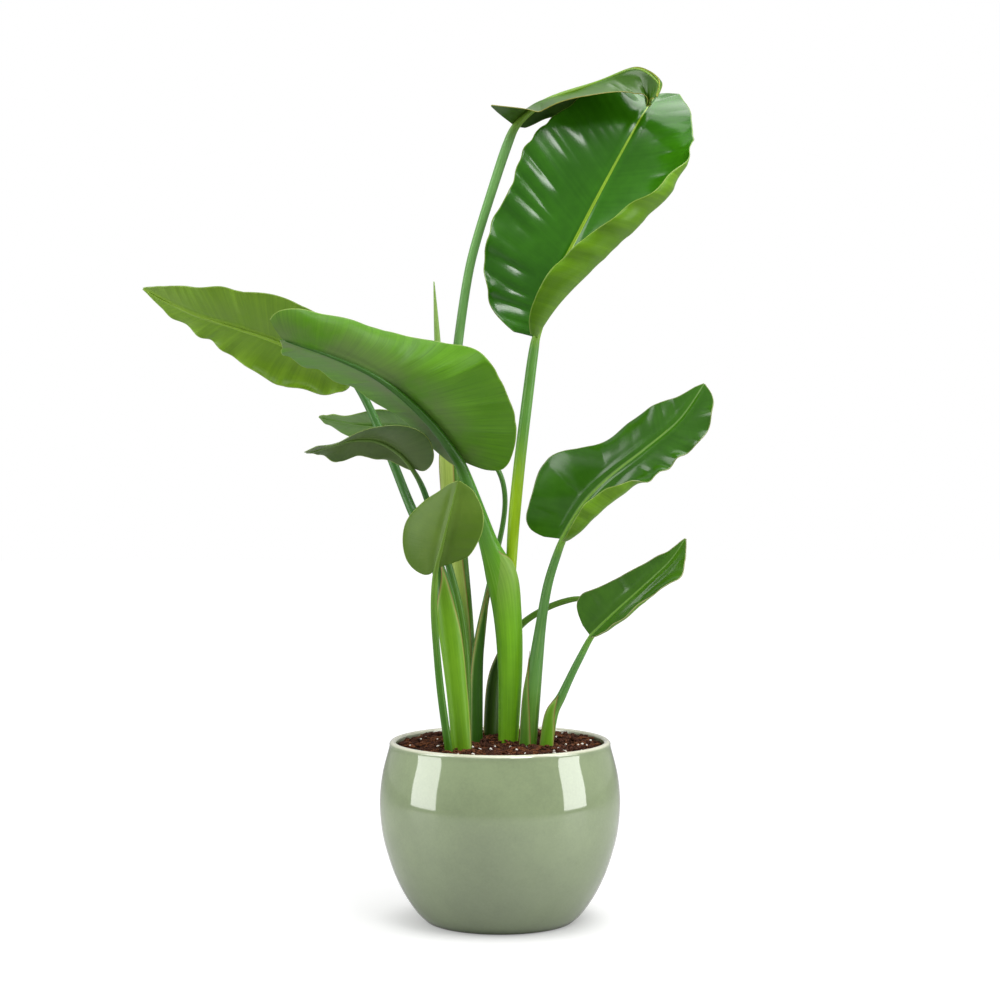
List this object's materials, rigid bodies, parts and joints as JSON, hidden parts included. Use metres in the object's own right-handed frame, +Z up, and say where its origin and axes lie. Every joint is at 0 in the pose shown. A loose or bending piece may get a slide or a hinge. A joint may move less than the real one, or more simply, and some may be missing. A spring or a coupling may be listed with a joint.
{
  "type": "potted bird of paradise plant",
  "caption": "Leafy bird of paradise house plant with paddle-shaped leaves on long upright stalks, standing in soil in a round glazed ceramic pot.",
  "frame": {"origin": "middle of the pot's flat foot, on the surface that it stands on", "axes": "+Z up, -Y towards the viewer of the picture, +X to the right in the picture"},
  "size_m": [0.5629, 0.2562, 0.8555],
  "materials": {
    "glaze": "gloss",
    "potting_soil": "matte",
    "leaf": "satin",
    "young_leaf": "satin",
    "stalk": "satin"
  },
  "bodies": {
    "root": {"pot": "glaze", "soil": "potting_soil", "tall_right_leaf_blade": "leaf", "tall_right_leaf_stalk": "stalk", "tall_back_leaf_blade": "leaf", "tall_back_leaf_stalk": "stalk", "high_left_leaf_blade": "leaf", "high_left_leaf_stalk": "stalk", "front_left_leaf_blade": "leaf", "front_left_leaf_stalk": "stalk", "small_left_leaf_blade": "leaf", "small_left_leaf_stalk": "stalk", "low_left_leaf_blade": "leaf", "low_left_leaf_stalk": "stalk", "young_front_leaf_blade": "young_leaf", "young_front_leaf_stalk": "stalk", "middle_right_leaf_blade": "leaf", "middle_right_leaf_stalk": "stalk", "low_right_leaf_blade": "leaf", "low_right_leaf_stalk": "stalk", "hidden_right_leaf_blade": "leaf", "hidden_right_leaf_stalk": "stalk", "rolled_new_leaf": "young_leaf"}
  },
  "joints": []
}
